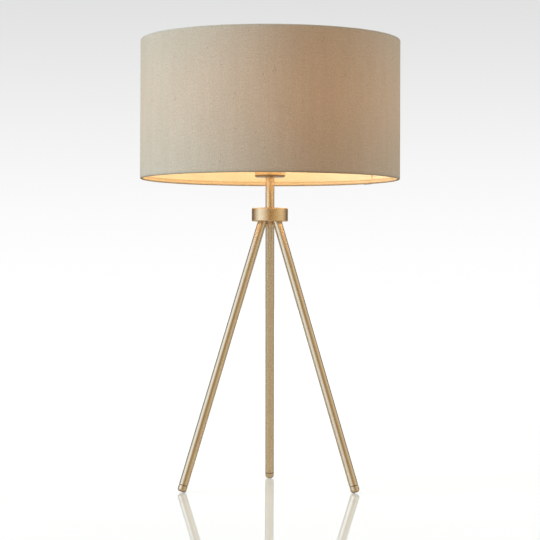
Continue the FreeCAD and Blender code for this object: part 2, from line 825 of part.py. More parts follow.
def rolled_edge(rim, inward):
    """Corners from the cloth's outside, round the wire, along the hem and back under the wire."""
    centre = s.shade_radius - s.roll_radius
    channel = s.wire_radius + s.screw_gap
    back = s.shade_radius - s.cloth_thick
    hem = LINER_FACE - s.hem_thick
    over = bend(s.roll_radius, "right")
    under = bend(channel, "left")
    corners = [
        (s.shade_radius, s.roll_radius, over),
        (centre, 0, over),
        (centre - s.roll_radius, s.roll_radius, over),
        (hem, s.roll_radius + rise(s.roll_radius, centre - hem)),
        (hem, s.hem_inside),
        (LINER_FACE, s.hem_inside),
        (LINER_FACE, s.roll_radius + rise(channel, LINER_FACE - centre), under),
        (centre - channel, s.roll_radius, under),
        (centre, s.roll_radius - channel, under),
        (back, s.roll_radius + rise(channel, back - centre)),
    ]
    return [(x, rim + as_size(depth) * inward, *arc) for x, depth, *arc in corners]


def backwards(corners):
    """The same corners the other way round, each arc kept on its own stretch."""
    points = [corner[:2] for corner in reversed(corners)]
    arcs = [corner[2:] for corner in reversed(corners[:-1])]
    return [point + arc for point, arc in zip(points, arcs + [()])]


def shade_cloth():
    """The drum's outer cloth, which rolls round a wire at each rim and turns in over the liner."""
    top = rolled_edge(SHADE_TOP, -1)
    bottom = rolled_edge(s.shade_base, 1)
    return turned("shade_cloth", top + backwards(bottom))


def shade_liner():
    """The stiff liner that the cloth is laid on, from wire to wire."""
    edge = s.roll_radius + s.wire_radius + s.screw_gap
    outside = s.shade_radius - s.cloth_thick
    return tube("shade_liner", LINER_FACE, outside, s.shade_base + edge, SHADE_TOP - edge)


def shade_wire(label, height):
    """The wire ring inside a rolled edge."""
    wire = DOCUMENT.addObject("Part::Torus", label)
    wire.Label = label
    bind(wire, "Radius1", s.shade_radius - s.roll_radius)
    bind(wire, "Radius2", s.wire_radius)
    place(wire, z=height)
    return wire


def carrier_ring():
    """The flat ring that sits on the holder and carries the shade."""
    top = CARRIER_BASE + s.carrier_thick
    return tube("carrier_ring", s.carrier_hole, s.carrier_radius, CARRIER_BASE, top)


def carrier_arm(side, azimuth):
    """A bent wire: level at the carrier ring, sloping out, then down to the rim's wire."""
    body = new_body(f"carrier_arm_{side}")
    level = CARRIER_BASE + s.carrier_thick / 2
    inner = s.carrier_radius - s.weld
    first = s.carrier_radius + s.arm_level
    wall = LINER_FACE - s.hem_thick - s.arm_radius - s.weld
    low = s.shade_base + s.roll_radius
    slope_start = first + s.arm_bend * sine(s.arm_slope)
    slope_start_height = level - s.arm_bend * (as_size(1) - cosine(s.arm_slope))
    slope_end = wall - s.arm_bend + s.arm_bend * sine(s.arm_slope)
    slope_end_height = slope_start_height - (slope_end - slope_start) * tangent(s.arm_slope)
    upright_top = slope_end_height - s.arm_bend * cosine(s.arm_slope)
    path = outline(body, "XZ_Plane", [
        (inner, level),
        (first, level, bend(s.arm_bend, "left")),
        (slope_start, slope_start_height),
        (slope_end, slope_end_height, bend(s.arm_bend, "left")),
        (wall, upright_top),
        (wall, low),
    ], "path", closed=False)
    section = sketch_on(body, "YZ_Plane", "section", height=inner)
    add_circle(section, 0, level, s.arm_radius)
    DOCUMENT.recompute()
    wire = body.newObject("PartDesign::AdditivePipe", f"{body.Name}_wire")
    wire.Profile = section
    wire.Spine = (path, [f"Edge{number}" for number in range(1, len(path.Shape.Edges) + 1)])
    place(body, yaw=azimuth)
    return body


def retaining_ring(label, base, grip_up):
    """A threaded ring with a flat flange against the shade and a notched grip."""
    bore = s.shell_radius + s.ring_play
    body = turned(label, [
        (bore, 0),
        (s.ring_flange_radius, 0),
        (s.ring_flange_radius, s.ring_flange),
        (s.ring_hub_radius, s.ring_flange),
        (s.ring_hub_radius, s.ring_flange + s.ring_hub),
        (bore, s.ring_flange + s.ring_hub),
    ])
    notch = sketch_on(body, "XY_Plane", "notch", height=s.ring_flange + s.ring_hub)
    add_circle(notch, s.ring_hub_radius + s.notch_radius / 2, 0, s.notch_radius)
    pocket = cut(body, notch, "notch_cut", length=s.ring_hub)
    repeat(body, pocket, "PolarPattern", NOTCHES)
    place(body, z=base, roll=0 if grip_up else 180)
    return body


# ------------------------------------------------------------------- assembly

def build():
    pieces = [collar(), cable_outlet(), stem_tube(), threaded_tube()]
    for side, azimuth in AZIMUTHS.items():
        pieces += [leg(side, azimuth), foot(side, azimuth)]
    pieces += [holder_cup(), cup_washer(), cup_nut()]
    pieces += [holder_base(), holder_grub_screw(), holder_shell(), contact_block()]
    pieces += [centre_contact(), side_contact(), terminal_screws(), screw_shell()]
    pieces += [bulb_contact(), bulb_insulator(), bulb_cap()]
    pieces += [bulb_housing(), bulb_light_plate(), bulb_globe()]
    pieces += [shade_cloth(), shade_liner()]
    pieces.append(shade_wire("wire_bottom", s.shade_base + s.roll_radius))
    pieces.append(shade_wire("wire_top", SHADE_TOP - s.roll_radius))
    pieces.append(carrier_ring())
    pieces += [carrier_arm(side, azimuth) for side, azimuth in AZIMUTHS.items()]
    pieces.append(retaining_ring("retaining_ring_lower", CARRIER_BASE - s.turn_gap, grip_up=False))
    pieces.append(retaining_ring("retaining_ring_upper", RING_BASE, grip_up=True))
    DOCUMENT.recompute()
    return pieces


def check(pieces):
    """Stop if any object failed or any piece has no sound shape."""
    for thing in DOCUMENT.Objects:
        if "Invalid" in thing.State or "Error" in thing.State:
            raise RuntimeError(f"{thing.Label} failed: {thing.State}")
    for piece in pieces:
        if piece.Shape.isNull() or not piece.Shape.isValid():
            raise RuntimeError(f"{piece.Label} has no valid shape")


def export(pieces):
    os.makedirs("parts", exist_ok=True)
    for piece in pieces:
        piece.Shape.exportStep(f"parts/{piece.Label}.step")
        box = piece.Shape.optimalBoundingBox(False, False)
        print(f"{piece.Label:22s} {len(piece.Shape.Solids)} solid  z {box.ZMin:8.2f} {box.ZMax:8.2f}")


PIECES = build()
check(PIECES)
export(PIECES)
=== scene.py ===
import json
import math

import bpy
from mathutils import Matrix, Vector, noise


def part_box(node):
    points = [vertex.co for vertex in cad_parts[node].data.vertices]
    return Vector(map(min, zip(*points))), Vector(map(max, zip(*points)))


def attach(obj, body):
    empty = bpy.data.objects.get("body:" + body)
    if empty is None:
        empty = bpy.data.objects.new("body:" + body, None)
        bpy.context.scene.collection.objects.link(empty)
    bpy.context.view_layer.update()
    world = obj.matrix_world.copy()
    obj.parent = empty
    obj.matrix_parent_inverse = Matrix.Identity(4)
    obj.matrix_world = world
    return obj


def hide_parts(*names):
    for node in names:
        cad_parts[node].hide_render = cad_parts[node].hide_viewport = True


# Finishes, light and camera for the tripod table lamp.
# Metres, +Z up. The front faces -Y. Azimuths of pieces are degrees round from +X.

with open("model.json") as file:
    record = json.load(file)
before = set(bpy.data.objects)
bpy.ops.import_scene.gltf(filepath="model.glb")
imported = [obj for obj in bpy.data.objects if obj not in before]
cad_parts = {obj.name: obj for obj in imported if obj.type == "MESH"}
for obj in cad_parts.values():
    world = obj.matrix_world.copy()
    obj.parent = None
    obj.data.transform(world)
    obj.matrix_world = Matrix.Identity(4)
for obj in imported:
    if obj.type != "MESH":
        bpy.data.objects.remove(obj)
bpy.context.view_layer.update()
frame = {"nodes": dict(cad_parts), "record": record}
NODES = frame["nodes"]
MM = 0.001

# ------------------------------------------------------------------ dimensions

# camera
LENS = 129.93
SENSOR = 36.0
CAMERA_PLACE = (0.0036, -2.628, 0.272)
CAMERA_UP = 0.0081              # radians that the camera looks up
CAMERA_TURN = 0.0012            # radians that it is turned about +Z
CAMERA_ROLL = 0.0036            # radians that it is tilted on its own axis
ORBIT = 0.0054                  # radians that it stands round from the front

# stage
FLOOR_RADIUS = 20.0
FLOOR_CORNERS = 96

# shade cloth
CLOTH_THICK = 0.45 * MM
ROLL_RADIUS = 1.75 * MM
HEM_FACE = 173.1 * MM           # inner face of the hem, from the lamp's axis
HEM_HEIGHT = 6.5 * MM
SEAM_AZIMUTH = 36.5             # where the cloth starts
LAP = 12.2 * MM                 # how far the cloth's end laps over its start
LAP_LIFT = 0.6 * MM             # how far that end stands off
LAP_RUN = 7.0 * MM              # stretch over which it lifts
ROUND_STEPS = 540
WALL_STEPS = 44
ROLL_STEPS = 10
HEM_STEPS = 4
WALL_WAVE = 0.12 * MM           # how far the wall stands in and out
ROLL_WAVE = 0.10 * MM           # the same for the roll over a wire
HEM_PUCKER = 0.07 * MM
EDGE_WAVE = 0.45 * MM           # how far the cut edge rises and falls
EDGE_DEPTH = 0.5 * MM           # how much of the hem counts as that edge
THREAD = 0.52 * MM              # one thread of the weave

# legs and feet
LEG_AZIMUTHS = {"rear": 90.0, "left": 210.0, "right": 330.0}
LEG_LEAN = 18.63
FOOT_END = -41.3 * MM           # a foot's end, along its leg's axis, from the level of the origin
FOOT_SHADE_REACH = 3.2 * MM            # how far up from its end a foot is darkened by painted shade where it meets the floor
GROOVE_LOW = 8.0 * MM           # the groove's edges, up from a foot's end
GROOVE_HIGH = 9.2 * MM
GROOVE_FADE = 0.2 * MM          # how softly its dirt and painted shade end, to each side

# cup
EDGE_LOW = 1.6 * MM             # the edge darkened by painted shade, up from the cup's base
EDGE_HIGH = 3.6 * MM

# lap of the liner, inside the shade
LINER_LAP_THICK = 0.4 * MM
LINER_LAP_RUN = 20.0            # degrees over which the lap fades into the liner
LINER_LAP_STEPS = 40
LINER_SEAM = 35.0               # azimuth of its edge
LINER_LINE = 0.006              # radians from the middle of that edge's painted shadow line to its side


# --------------------------------------------------------------------- colours

# woven cloth, and the bulb's light through it and through its hem, painted as a glow
CLOTH_LIGHT = (0.64, 0.58, 0.515)
CLOTH_MID = (0.61, 0.56, 0.49)
CLOTH_DARK = (0.45, 0.39, 0.325)
CLOTH_PALE = (0.68, 0.64, 0.585)
CLOTH_WEAVE_SHADE = (0.40, 0.34, 0.28)
CLOTH_FLECK = (0.20, 0.155, 0.11)
GLOW_TINT = (1.0, 0.36, 0.07)
GLOW_STRENGTH = 0.16
GLOW_DROP = 15 * MM             # how far below the globe's middle it is strongest
GLOW_REACH = 130 * MM           # height over which it fades
HEM_TINT = (1.0, 0.52, 0.12)
HEM_STRENGTH = 0.22
SEAM_SHADOW = (0.62, 0.34, 0.12)  # painted shadow of the liner's lapped edge

# satin brass, and for each group of pieces a tint that paints the light it gets: warmer on the head below
# the lit shade, cooler on the legs, lighter on the outlet
BRASS_LIGHT = (0.80, 0.65, 0.47)
BRASS_MID = (0.775, 0.62, 0.44)
BRASS_LINES = (0.82, 0.69, 0.52)
HEAD_LIGHT_TINT = (1.02, 0.95, 0.84)
LEG_LIGHT_TINT = (0.94, 0.98, 1.04)
OUTLET_LIGHT_TINT = (0.95, 0.88, 0.90)
# painted shade at a foot's end, where it meets the floor
FOOT_END_SHADE = (0.50, 0.34, 0.23)
# dirt and painted shade in a foot's groove
GROOVE_DIRT_AND_SHADE = (0.20, 0.14, 0.08)
# painted shade on the cup's lower edge
CUP_EDGE_SHADE = (0.36, 0.21, 0.09)

# the studio as gloss and shade see it: degrees from the camera's side, positive to the right
BACKDROP = (1.0, 1.0, 1.0)
BACKDROP_TOP = (0.70, 0.71, 0.70)
FLAG = (0.14, 0.11, 0.07)       # dark cloths beside the backdrop
SIDE = (0.43, 0.37, 0.29)
WINDOW = (1.25, 1.50, 1.75)     # cool light from the left
CURTAIN = (1.10, 1.20, 1.25)    # the window's softer side
FRONT = (0.35, 0.20, 0.05)      # the unlit room behind the camera
CORNER = (0.62, 0.52, 0.34)     # where the light of the wall begins
WALL = (0.86, 0.76, 0.60)       # warm wall to the right
CEILING = (0.34, 0.22, 0.12)
SURROUND = [
    (-180, BACKDROP), (-167, BACKDROP), (-154, FLAG), (-135, FLAG), (-112, SIDE),
    (-68, WINDOW), (-45, CURTAIN), (0, FRONT), (45, CORNER), (68, WALL), (90, WALL),
    (112, SIDE), (135, FLAG), (154, FLAG), (167, BACKDROP), (180, BACKDROP),
]

# lamps: name, azimuth from the camera's side, elevation, tint, strength, softness in degrees
SUNS = [
    ("key", -72, 20, (0.67, 0.94, 1.0), 2.4, 40),
    ("rim", 108, 10, (0.58, 0.88, 1.0), 1.5, 30),
]
BULB_TINT = (1.0, 0.65, 0.33)
BULB_POWER = 1.35

# floor, as the camera sees it, in the metal's gloss, and in the light that it gives back
FLOOR_LIGHT = (0.92, 0.92, 0.91)
FLOOR_MID = (0.90, 0.90, 0.89)
FLOOR_IN_GLOSS = (0.78, 0.68, 0.56)
FLOOR_AROUND = (0.34, 0.27, 0.19)
FLOOR_GLOW = (0.86, 0.95, 1.0)
FLOOR_LIFT = 0.17               # a glow that only the camera sees


# ------------------------------------------------------------ material builder

class Graph:
    """A node tree, built from short calls that each return an output socket."""

    def __init__(self, tree):
        self.tree = tree
        self.tree.nodes.clear()

    def feed(self, socket, value):
        """Link a socket to another, or set it to a plain value."""
        if isinstance(value, bpy.types.NodeSocket):
            self.tree.links.new(value, socket)
        else:
            socket.default_value = value

    def add(self, kind, inputs=(), **settings):
        node = self.tree.nodes.new(kind)
        for name, value in settings.items():
            setattr(node, name, value)
        for name, value in dict(inputs).items():
            self.feed(node.inputs[name], value)
        return node

    def math(self, operation, *values):
        node = self.add("ShaderNodeMath", operation=operation)
        for socket, value in zip(node.inputs, values):
            self.feed(socket, value)
        return node.outputs[0]

    def spread(self, value, low, high, to_low=0.0, to_high=1.0):
        """Map a value smoothly from one range onto another."""
        node = self.add("ShaderNodeMapRange", interpolation_type="SMOOTHSTEP")
        for socket, number in zip(node.inputs, (value, low, high, to_low, to_high)):
            self.feed(socket, number)
        return node.outputs[0]

    def place(self, kind="Object"):
        return self.add("ShaderNodeTexCoord").outputs[kind]

    def stretch(self, vector, scale=(1, 1, 1), rotation=(0, 0, 0)):
        inputs = {"Vector": vector, "Scale": scale, "Rotation": rotation}
        return self.add("ShaderNodeMapping", inputs).outputs[0]

    def noise(self, vector, scale, detail=2.0, roughness=0.5, distortion=0.0):
        inputs = {"Vector": vector, "Scale": scale, "Detail": detail,
                  "Roughness": roughness, "Distortion": distortion}
        return self.add("ShaderNodeTexNoise", inputs).outputs["Fac"]

    def cells(self, vector, scale):
        return self.add("ShaderNodeTexVoronoi", {"Vector": vector, "Scale": scale}).outputs["Distance"]

    def blend(self, share, first, second, way="MIX"):
        """Mix two colours."""
        node = self.add("ShaderNodeMix", data_type="RGBA", blend_type=way)
        self.feed(node.inputs["Factor"], share)
        self.feed(node.inputs[6], colour(first))
        self.feed(node.inputs[7], colour(second))
        return node.outputs[2]

    def ramp(self, value, stops):
        """A colour for each value, blended between (value, colour) stops."""
        node = self.add("ShaderNodeValToRGB", {"Fac": value})
        band = node.color_ramp
        while len(band.elements) < len(stops):
            band.elements.new(1.0)
        for element, (position, tint) in zip(band.elements, stops):
            element.position = position
            element.color = colour(tint)
        return node.outputs["Color"]

    def split(self, vector):
        return self.add("ShaderNodeSeparateXYZ", {"Vector": vector}).outputs

    def bump(self, height, distance, strength):
        inputs = {"Height": height, "Distance": distance, "Strength": strength}
        return self.add("ShaderNodeBump", inputs).outputs[0]


def colour(tint):
    """Give a plain (r, g, b) its fourth number, and leave a socket as it is."""
    if isinstance(tint, bpy.types.NodeSocket):
        return tint
    return (*tint, 1.0)


def material(name, paint):
    """A material whose Principled inputs are what paint(graph) returns.

    Only the bulb's globe is sampled as a lamp. The other glows are too weak to need it.
    """
    made = bpy.data.materials.new(f"{name}_finish")
    made.use_nodes = True
    made.cycles.emission_sampling = "AUTO" if name == "opal_globe" else "NONE"
    graph = Graph(made.node_tree)
    inputs = {key: colour(value) if "Color" in key or "Tint" in key else value
              for key, value in paint(graph).items()}
    shader = graph.add("ShaderNodeBsdfPrincipled", inputs)
    output = graph.add("ShaderNodeOutputMaterial")
    graph.feed(output.inputs["Surface"], shader.outputs[0])
    return made


# ------------------------------------------------------------------- materials

def satin_brass(graph, lean=0.0, azimuth=0.0, foot=False, cup=False, tint=(1.0, 1.0, 1.0)):
    """Plated and lightly lacquered metal, brushed round the piece's own axis."""
    upright = graph.stretch(graph.place(), rotation=(0, 0, -math.radians(azimuth)))
    along = graph.stretch(upright, rotation=(0, math.radians(lean), 0))
    lines = graph.noise(graph.stretch(along, (90, 90, 3600)), 1.0, 3.0, 0.6)
    broad = graph.noise(graph.stretch(along, (40, 40, 420)), 1.0, 2.0)
    cloud = graph.noise(along, 26.0, 3.0, 0.55)
    smudge = graph.noise(along, 75.0, 4.0, 0.6, 0.4)
    tone = graph.blend(graph.spread(cloud, 0.35, 0.68), BRASS_LIGHT, BRASS_MID)
    tone = graph.blend(graph.spread(lines, 0.3, 0.7, 0.0, 0.2), tone, BRASS_LINES)
    # painted light: each group's tint stands for the light that falls on it
    tone = graph.blend(1.0, tone, tint, "MULTIPLY")
    if foot:
        height = graph.split(along)[2]
        # painted shade: a foot darkens towards its end, where it meets the floor
        wear_and_shade = graph.spread(height, FOOT_END, FOOT_END + FOOT_SHADE_REACH, 0.75, 0.0)
        tone = graph.blend(wear_and_shade, tone, FOOT_END_SHADE)
        # dirt and painted shade: a dark band in the foot's groove
        low, high = FOOT_END + GROOVE_LOW, FOOT_END + GROOVE_HIGH
        under = graph.spread(height, low - GROOVE_FADE, low + GROOVE_FADE)
        over = graph.spread(height, high - GROOVE_FADE, high + GROOVE_FADE, 1.0, 0.0)
        tone = graph.blend(graph.math("MULTIPLY", under, over), tone, GROOVE_DIRT_AND_SHADE)
    if cup:
        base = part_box("holder_cup")[0].z
        # painted shade: the cup darkens towards its base
        cup_edge_shade = graph.spread(graph.split(graph.place())[2], base + EDGE_LOW, base + EDGE_HIGH, 0.9, 0.0)
        tone = graph.blend(cup_edge_shade, tone, CUP_EDGE_SHADE)
    rough = graph.math("ADD", graph.spread(smudge, 0.3, 0.7, 0.26, 0.29),
                       graph.spread(lines, 0.3, 0.7, -0.015, 0.015))
    relief = graph.math("ADD", lines, graph.math("MULTIPLY", broad, 0.6))
    return {
        "Base Color": tone,
        "Metallic": 1.0,
        "Roughness": rough,
        "Coat Weight": 0.15,
        "Coat Roughness": 0.12,
        "Normal": graph.bump(relief, 0.0006 * MM, 0.1),
    }


def zinc_steel(graph):
    """Bright zinc plate with a faint bluish and yellowish bloom."""
    spot = graph.place()
    bloom = graph.noise(spot, 220.0, 3.0)
    grain = graph.noise(spot, 2400.0, 2.0)
    return {
        "Base Color": graph.blend(graph.spread(bloom, 0.35, 0.65), (0.60, 0.61, 0.63), (0.66, 0.63, 0.54)),
        "Metallic": 1.0,
        "Roughness": graph.spread(bloom, 0.3, 0.7, 0.24, 0.38),
        "Normal": graph.bump(grain, 0.01 * MM, 0.5),
    }


def moulded(tone, wear_and_shade, rough):
    """A moulded plastic: fine grain, a little flow and dust in the tone."""
    def paint(graph):
        spot = graph.place()
        grain = graph.noise(spot, 900.0, 2.0)
        flow = graph.noise(spot, 60.0, 3.0, 0.6)
        return {
            "Base Color": graph.blend(graph.spread(flow, 0.4, 0.75), tone, wear_and_shade),
            "Roughness": graph.spread(flow, 0.3, 0.7, rough - 0.05, rough + 0.07),
            "Normal": graph.bump(grain, 0.012 * MM, 0.45),
        }
    return paint


def white_ceramic(graph):
    """Glazed steatite, slightly mottled."""
    spot = graph.place()
    mottle = graph.noise(spot, 300.0, 4.0)
    return {
        "Base Color": graph.blend(graph.spread(mottle, 0.35, 0.7), (0.88, 0.86, 0.80), (0.80, 0.77, 0.70)),
        "Roughness": graph.spread(mottle, 0.3, 0.7, 0.22, 0.4),
        "Coat Weight": 0.5,
        "Coat Roughness": 0.08,
        "Normal": graph.bump(graph.noise(spot, 160.0, 2.0), 0.03 * MM, 0.4),
    }


def bare_metal(tone, dull, rough):
    """A small rolled or turned metal piece with rub marks."""
    def paint(graph):
        spot = graph.place()
        marks = graph.noise(graph.stretch(spot, (500, 500, 2500)), 1.0, 3.0)
        cloud = graph.noise(spot, 260.0, 3.0)
        return {
            "Base Color": graph.blend(graph.spread(cloud, 0.35, 0.7), tone, dull),
            "Metallic": 1.0,
            "Roughness": graph.spread(marks, 0.3, 0.7, rough - 0.06, rough + 0.08),
            "Normal": graph.bump(marks, 0.008 * MM, 0.5),
        }
    return paint


def black_glass(graph):
    spot = graph.place()
    swirl = graph.noise(spot, 400.0, 3.0, 0.5, 1.0)
    return {
        "Base Color": graph.blend(swirl, (0.012, 0.012, 0.016), (0.035, 0.03, 0.04)),
        "Roughness": graph.spread(swirl, 0.3, 0.7, 0.06, 0.18),
        "Normal": graph.bump(swirl, 0.02 * MM, 0.3),
    }


def opal_globe(graph):
    """Lit opal glass, a shade dimmer towards the housing."""
    spot = graph.place()
    height = graph.split(spot)[2]
    low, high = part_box("bulb_globe")
    lit = graph.spread(height, low.z, low.z + (high.z - low.z) * 0.5)
    mottle = graph.noise(spot, 180.0, 2.0)
    glow = graph.blend(lit, (1.0, 0.66, 0.32), (1.0, 0.80, 0.52))
    return {
        "Base Color": graph.blend(graph.spread(mottle, 0.3, 0.7), (0.95, 0.92, 0.85), (0.91, 0.88, 0.80)),
        "Roughness": graph.spread(mottle, 0.3, 0.7, 0.28, 0.36),
        "Emission Color": glow,
        "Emission Strength": 1.6,
        "Normal": graph.bump(graph.noise(spot, 900.0, 2.0), 0.006 * MM, 0.3),
    }


def white_wire(graph):
    """Thin white enamel with a soft orange-peel surface and a few rubbed spots."""
    spot = graph.place()
    peel = graph.noise(spot, 700.0, 2.0)
    rub = graph.noise(spot, 90.0, 5.0, 0.7)
    return {
        "Base Color": graph.blend(graph.spread(rub, 0.5, 0.8), (0.88, 0.86, 0.82), (0.72, 0.69, 0.63)),
        "Roughness": graph.spread(rub, 0.3, 0.7, 0.3, 0.44),
        "Normal": graph.bump(peel, 0.02 * MM, 0.5),
    }


def liner_film(graph):
    """Cream film, laid on the back of the cloth: faintly mottled, with the weave pressed through, and a
    painted shadow line along its lapped edge.
    """
    spot = graph.place()
    mottle = graph.noise(spot, 34.0, 4.0, 0.6)
    pressed = graph.noise(spot, 850.0, 2.0)
    x, y, _ = graph.split(spot)
    aside = graph.math("SUBTRACT", graph.math("ARCTAN2", y, x), math.radians(LINER_SEAM))
    # painted shadow: a thin darker line along the lapped edge
    line = graph.spread(graph.math("ABSOLUTE", aside), 0.3 * LINER_LINE, LINER_LINE, 1.0, 0.0)
    tone = graph.blend(graph.spread(mottle, 0.3, 0.7), (0.93, 0.88, 0.76), (0.90, 0.83, 0.70))
    return {
        "Base Color": graph.blend(line, tone, SEAM_SHADOW),
        "Roughness": graph.spread(mottle, 0.3, 0.7, 0.46, 0.58),
        "Normal": graph.bump(pressed, 0.03 * MM, 0.4),
    }


def weave(graph, across, along):
    """Height of a plain weave: each thread is round, and rises over every other one it crosses."""
    def thread(side, length, phase):
        number = graph.math("FLOOR", side)
        offset = graph.math("SUBTRACT", graph.math("FRACT", side), 0.5)
        crown = graph.math("COSINE", graph.math("MULTIPLY", offset, math.pi))
        beat = graph.math("MULTIPLY", graph.math("ADD", graph.math("ADD", length, number), phase), math.pi)
        rise = graph.math("MULTIPLY_ADD", graph.math("SINE", beat), 0.5, 0.5)
        return graph.math("MULTIPLY", crown, rise)
    return graph.math("MAXIMUM", thread(across, along, 0.0), thread(along, across, 1.0))


def shade_fabric(graph):
    """Plain woven cloth with slubs, flecks and soft upright streaks, with the bulb's light through it
    painted as a glow.
    """
    run, rise, _ = graph.split(graph.place("UV"))
    wobble = graph.noise(graph.stretch(graph.place("UV"), (70, 70, 1)), 1.0, 2.0)
    shift = graph.math("MULTIPLY", wobble, 1.2)
    across = graph.math("ADD", graph.math("DIVIDE", run, THREAD), shift)
    along = graph.math("ADD", graph.math("DIVIDE", rise, THREAD), shift)
    threads = weave(graph, across, along)

    cloth = graph.place("UV")
    speck = graph.noise(graph.stretch(cloth, (620, 420, 1)), 1.0, 2.0, 0.6)
    warp = graph.noise(graph.stretch(cloth, (900, 70, 1)), 1.0, 3.0, 0.6)
    weft = graph.noise(graph.stretch(cloth, (60, 1100, 1)), 1.0, 3.0, 0.6)
    streak = graph.noise(graph.stretch(cloth, (110, 9, 1)), 1.0, 2.0, 0.5)
    cloud = graph.noise(cloth, 26.0, 2.0, 0.5)
    fleck = graph.spread(graph.cells(graph.stretch(cloth, (200, 130, 1)), 1.0), 0.06, 0.2, 1.0, 0.0)
    rare = graph.spread(graph.noise(cloth, 70.0, 1.0), 0.55, 0.62)
    fleck = graph.math("MULTIPLY", fleck, rare)

    tone = graph.blend(graph.spread(cloud, 0.3, 0.7), CLOTH_LIGHT, CLOTH_MID)
    tone = graph.blend(graph.spread(streak, 0.3, 0.7, 0.0, 0.22), tone, CLOTH_DARK)
    tone = graph.blend(graph.spread(speck, 0.3, 0.7, 0.0, 0.75), tone, CLOTH_DARK)
    tone = graph.blend(graph.spread(warp, 0.3, 0.7, 0.0, 0.35), tone, CLOTH_DARK)
    tone = graph.blend(graph.spread(weft, 0.35, 0.75, 0.0, 0.3), tone, CLOTH_PALE)
    # painted shade: darker in the hollows between the threads
    tone = graph.blend(graph.spread(threads, 0.05, 0.6, 0.5, 0.0), tone, CLOTH_WEAVE_SHADE)
    tone = graph.blend(graph.math("MULTIPLY", fleck, 0.6), tone, CLOTH_FLECK)

    height = graph.split(graph.place())[2]
    low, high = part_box("shade_cloth")
    below = graph.spread(height, low.z + 0.5 * MM, low.z + 4.0 * MM, 0.35, 1.0)
    above = graph.spread(height, high.z - 4.0 * MM, high.z - 0.5 * MM, 1.0, 0.35)
    middle = (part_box("bulb_globe")[0].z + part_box("bulb_globe")[1].z) / 2
    away = graph.math("ABSOLUTE", graph.math("SUBTRACT", height, middle - GLOW_DROP))
    glow = graph.spread(away, 0.0, GLOW_REACH, 1.0, 0.55)
    glow = graph.math("MULTIPLY", glow, graph.math("MULTIPLY", below, above))
    glow = graph.math("MULTIPLY", glow, graph.spread(streak, 0.3, 0.7, 1.03, 0.97))
    glow = graph.math("MULTIPLY", glow, graph.spread(speck, 0.3, 0.7, 1.12, 0.88))

    hem = graph.spread(rise, HEM_HEIGHT - 1.5 * MM, HEM_HEIGHT + 0.5 * MM, 1.0, 0.0)
    relief = graph.math("ADD", threads, graph.math("MULTIPLY", graph.math("ADD", warp, weft), 0.9))
    return {
        "Base Color": tone,
        "Roughness": graph.spread(warp, 0.3, 0.7, 0.82, 0.95),
        "Specular IOR Level": 0.25,
        "Sheen Weight": 0.12,
        "Sheen Roughness": 0.5,
        "Sheen Tint": (0.95, 0.90, 0.82),
        "Emission Color": graph.blend(hem, GLOW_TINT, HEM_TINT),
        "Emission Strength": graph.math("MAXIMUM", graph.math("MULTIPLY", glow, GLOW_STRENGTH),
                                        graph.math("MULTIPLY", hem, HEM_STRENGTH)),
        "Normal": graph.bump(relief, 0.12 * MM, 0.55),
    }


FINISHES = {
    "satin_brass": lambda graph: satin_brass(graph, tint=HEAD_LIGHT_TINT),
    "zinc_steel": zinc_steel,
    "black_plastic": moulded((0.022, 0.022, 0.024), (0.045, 0.043, 0.042), 0.42),
    "white_ceramic": white_ceramic,
    "contact_brass": bare_metal((0.80, 0.62, 0.32), (0.66, 0.48, 0.25), 0.3),
    "solder": bare_metal((0.56, 0.56, 0.55), (0.44, 0.44, 0.43), 0.42),
    "black_glass": black_glass,
    "cap_nickel": bare_metal((0.76, 0.75, 0.72), (0.64, 0.63, 0.60), 0.26),
    "white_plastic": moulded((0.88, 0.88, 0.86), (0.80, 0.79, 0.75), 0.3),
    "plate_aluminium": bare_metal((0.80, 0.80, 0.78), (0.70, 0.70, 0.69), 0.35),
    "opal_globe": opal_globe,
    "shade_fabric": shade_fabric,
    "liner_film": liner_film,
    "white_wire": white_wire,
}


def dress_nodes():
    """Give every piece of the frame the finish of its material slot."""
    finishes = {name: material(name, paint) for name, paint in FINISHES.items()}
    for part in frame["record"]["subparts"]:
        node = NODES[part["node"]]
        node.data.materials.clear()
        node.data.materials.append(finishes[part["material_slot"]])
    for side, azimuth in LEG_AZIMUTHS.items():
        for piece in ("leg", "foot"):
            NODES[f"{piece}_{side}"].data.materials[0] = material(
                f"brass_{piece}_{side}",
                lambda graph: satin_brass(graph, LEG_LEAN, azimuth, piece == "foot", tint=LEG_LIGHT_TINT),
            )
    NODES["cable_outlet"].data.materials[0] = material(
        "brass_outlet", lambda graph: satin_brass(graph, tint=OUTLET_LIGHT_TINT))
    NODES["holder_cup"].data.materials[0] = material(
        "brass_cup", lambda graph: satin_brass(graph, cup=True, tint=HEAD_LIGHT_TINT))
    return finishes


# ----------------------------------------------------------------- mesh helpers

def new_piece(name, points, faces, finish, body="shade", uvs=None):
    """A mesh piece with smooth faces, on a body of the frame."""
    mesh = bpy.data.meshes.new(name)
    mesh.from_pydata(points, [], faces)
    if uvs:
        layer = mesh.uv_layers.new(name="cloth")
        for loop in mesh.loops:
            layer.data[loop.index].uv = uvs[loop.vertex_index]
    mesh.polygons.foreach_set("use_smooth", [True] * len(faces))
    mesh.materials.append(finish)
    piece = bpy.data.objects.new(name, mesh)
    bpy.context.scene.collection.objects.link(piece)
    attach(piece, body)
    return piece


